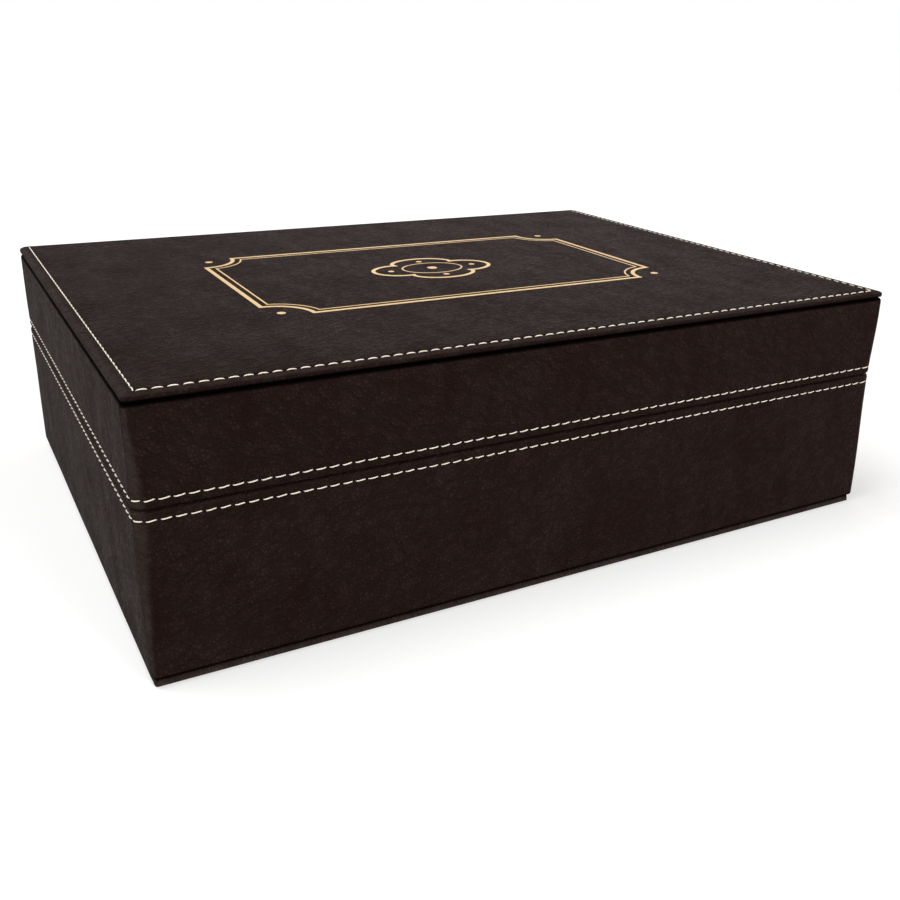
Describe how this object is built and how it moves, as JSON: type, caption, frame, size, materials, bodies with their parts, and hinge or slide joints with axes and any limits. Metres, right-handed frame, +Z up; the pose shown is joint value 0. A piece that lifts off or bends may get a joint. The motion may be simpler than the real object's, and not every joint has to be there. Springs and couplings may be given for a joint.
{
  "type": "stationery box",
  "caption": "Leatherette-covered stationery box with a deep hinged lid, contrast stitching at the rims and round the top panel, and a fabric lining.",
  "frame": {"origin": "middle of the closed box's footprint, on the surface that it stands on", "axes": "+X to the right along the front, +Y from the front to the hinge at the back, +Z up"},
  "size_m": [0.305, 0.23, 0.096],
  "materials": {
    "leatherette": "dark brown fine-grained leatherette, low sheen",
    "thread": "cream polyester sewing thread",
    "lining": "near-black brushed fabric over card",
    "wall_board": "plain fibreboard, hidden",
    "panel_board": "dense grey-brown card, hidden",
    "magnet": "nickel-plated magnet bar, hidden"
  },
  "bodies": {
    "base": {"base_front_board": "wall_board", "base_back_board": "wall_board", "base_left_board": "wall_board", "base_right_board": "wall_board", "base_floor_board": "wall_board", "base_wall_cover": "leatherette", "base_rim_stitching": "thread", "base_magnets": "magnet", "base_hinge_cover": "leatherette", "bottom_panel_board": "panel_board", "bottom_panel_cover": "leatherette", "base_front_lining": "lining", "base_back_lining": "lining", "base_left_lining": "lining", "base_right_lining": "lining", "base_floor_pad": "lining"},
    "lid": {"lid_front_board": "wall_board", "lid_back_board": "wall_board", "lid_left_board": "wall_board", "lid_right_board": "wall_board", "lid_panel_board": "wall_board", "lid_wall_cover": "leatherette", "lid_rim_stitching": "thread", "lid_magnets": "magnet", "top_panel_board": "panel_board", "top_hinge_cover": "leatherette", "top_panel_stitching": "thread", "lid_front_lining": "lining", "lid_back_lining": "lining", "lid_left_lining": "lining", "lid_right_lining": "lining", "lid_ceiling_pad": "lining"}
  },
  "joints": [
    {"name": "lid_hinge", "type": "hinge", "parent": "base", "child": "lid", "pos_m": [0, 0.1153, 0.06], "axis": [-1, 0, 0], "range_deg": [0, 180]}
  ]
}
